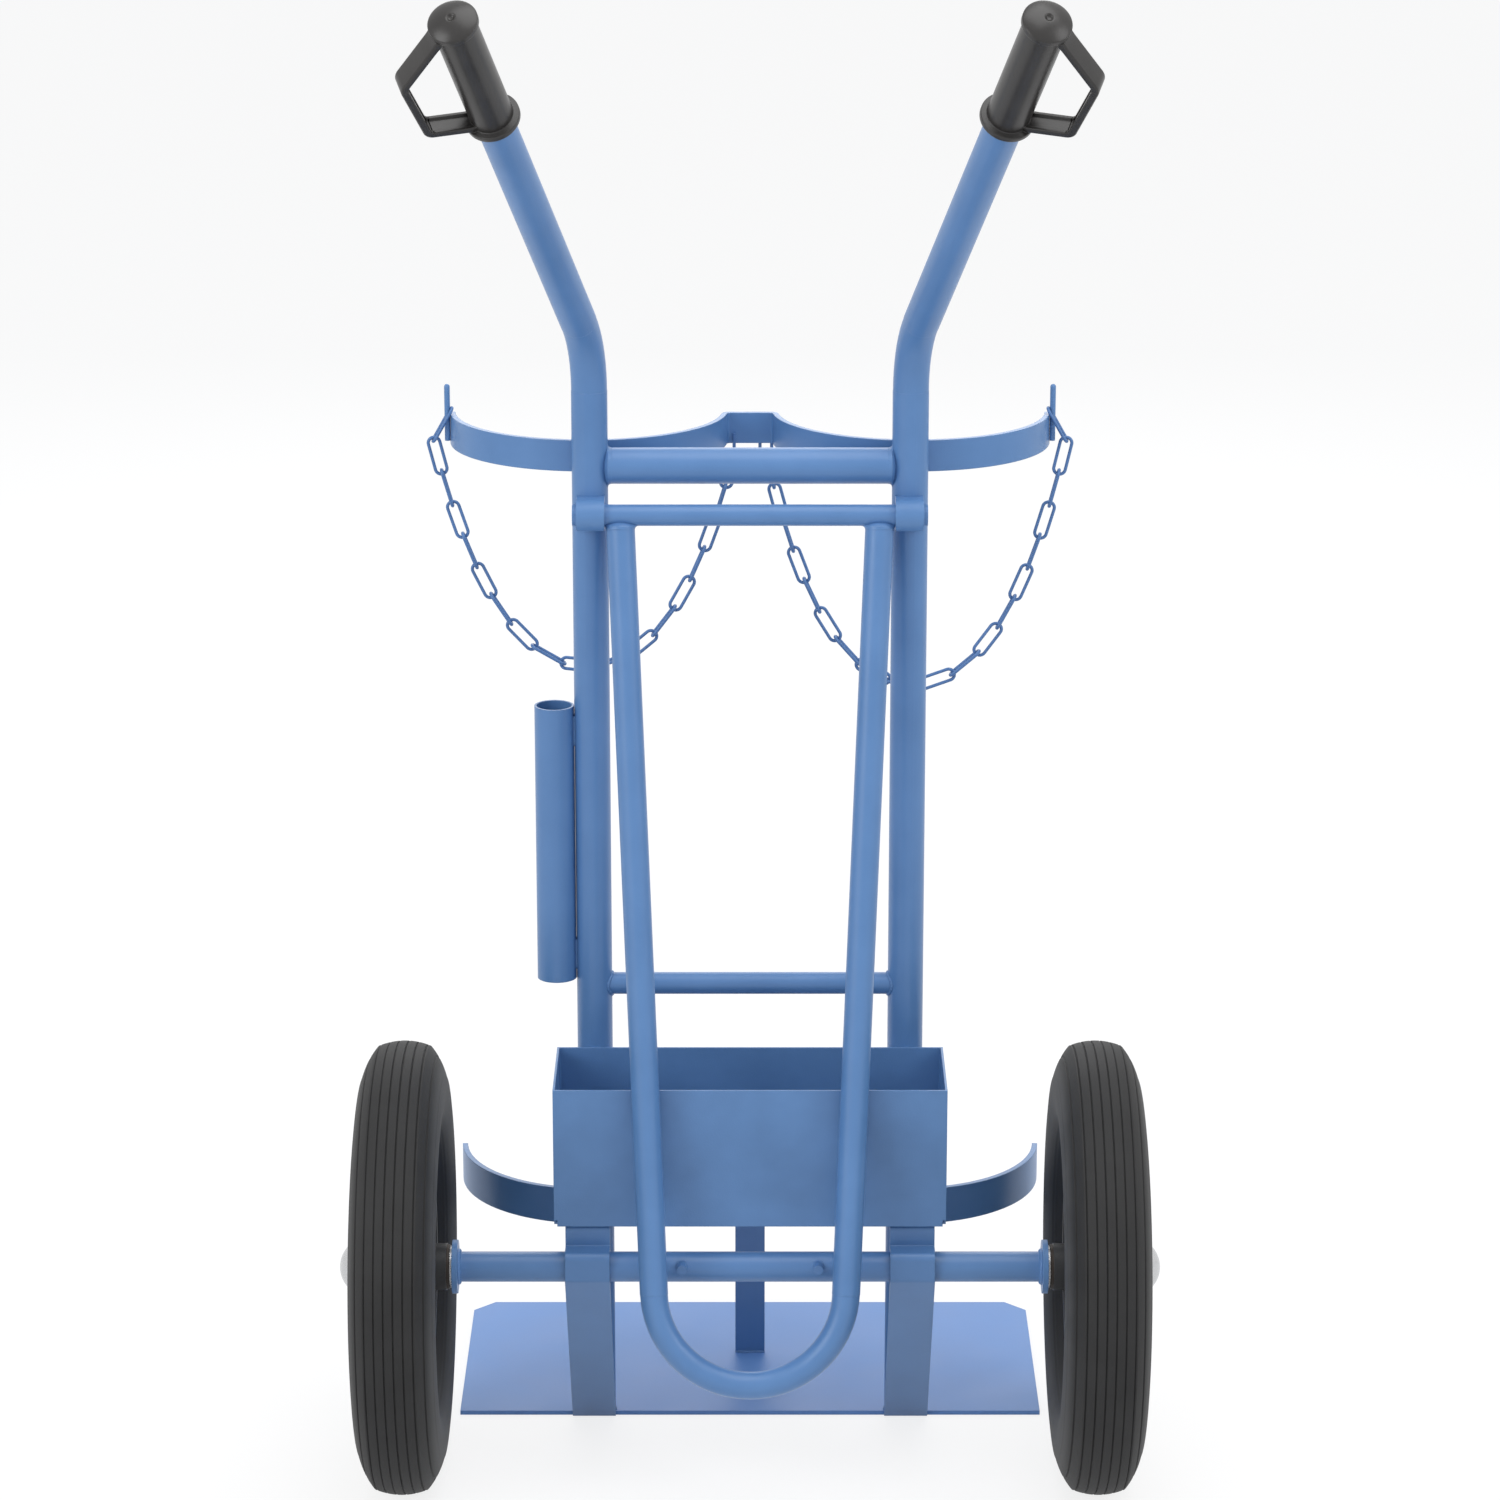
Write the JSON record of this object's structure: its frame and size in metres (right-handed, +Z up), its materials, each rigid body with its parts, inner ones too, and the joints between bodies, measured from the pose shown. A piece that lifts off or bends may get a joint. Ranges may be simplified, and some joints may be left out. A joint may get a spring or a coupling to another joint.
{
  "type": "gas cylinder trolley",
  "caption": "Upright two-wheeled tube-frame trolley for two gas cylinders, with band cradles, slack retaining chains, tool box, rod tube and fold-out prop stand.",
  "frame": {"origin": "centre of the toe plate's underside, on the floor", "axes": "+Z up, -Y towards the person pushing, +Y towards the cylinders, +X to the right as seen by the person pushing"},
  "size_m": [0.7336, 0.6204, 1.3584],
  "materials": {
    "blue_paint": "blue powder coat",
    "zinc_steel": "bright zinc plate",
    "axle_steel": "turned steel, lightly oiled",
    "tyre_rubber": "matt black rubber",
    "tube_rubber": "thin smooth rubber",
    "black_plastic": "moulded black plastic, fine grain",
    "rim_paint": "black paint",
    "bush_plastic": "brown moulded bush"
  },
  "bodies": {
    "frame": {"upright_left": "blue_paint", "upright_right": "blue_paint", "upper_crossbar": "blue_paint", "lower_crossbar": "blue_paint", "base_plate": "blue_paint", "axle_tube": "blue_paint", "axle_flange_left": "blue_paint", "axle_flange_right": "blue_paint", "axle_rod": "axle_steel", "axle_washers": "zinc_steel", "axle_cap_left": "zinc_steel", "axle_cap_right": "zinc_steel", "axle_bracket_left": "blue_paint", "axle_bracket_right": "blue_paint", "guide_pins": "blue_paint", "upper_cradle": "blue_paint", "lower_cradle": "blue_paint", "centre_strut": "blue_paint", "tool_box": "blue_paint", "rod_tube": "blue_paint", "pivot_strap_left": "blue_paint", "pivot_strap_right": "blue_paint", "chain_peg_left": "blue_paint", "chain_peg_right": "blue_paint", "end_link_left": "blue_paint", "end_link_right": "blue_paint", "chain_eye_left": "blue_paint", "chain_eye_right": "blue_paint", "grip_left": "black_plastic", "grip_right": "black_plastic"},
    "wheel_left": {"tyre_left": "tyre_rubber", "inner_tube_left": "tube_rubber", "valve_left": "black_plastic", "rim_left": "rim_paint", "hub_bushes_left": "bush_plastic"},
    "wheel_right": {"tyre_right": "tyre_rubber", "inner_tube_right": "tube_rubber", "valve_right": "black_plastic", "rim_right": "rim_paint", "hub_bushes_right": "bush_plastic"},
    "stand": {"stand_frame": "blue_paint", "stand_pivot_bar": "blue_paint"},
    "left_chain": {"chain_left": "blue_paint"},
    "right_chain": {"chain_right": "blue_paint"}
  },
  "joints": [
    {"name": "wheel_left_spin", "type": "hinge", "parent": "frame", "child": "wheel_left", "pos_m": [-0.3094, -0.26, 0.202], "axis": [1, 0, 0], "continuous": true},
    {"name": "wheel_right_spin", "type": "hinge", "parent": "frame", "child": "wheel_right", "pos_m": [0.3094, -0.26, 0.202], "axis": [1, 0, 0], "continuous": true},
    {"name": "stand_swing", "type": "hinge", "parent": "frame", "child": "stand", "pos_m": [0, -0.155, 0.8675], "axis": [-1, 0, 0], "range_deg": [0, 50]},
    {"name": "chain_left_swing", "type": "hinge", "parent": "frame", "child": "left_chain", "pos_m": [-0.28704, -0.00676, 0.90412], "axis": [0.9977, 0.0394, -0.0554], "range_deg": [-22, 55]},
    {"name": "chain_right_swing", "type": "hinge", "parent": "frame", "child": "right_chain", "pos_m": [0.287, -0.00676, 0.90413], "axis": [0.9969, -0.0393, 0.0685], "range_deg": [-22, 55]}
  ]
}
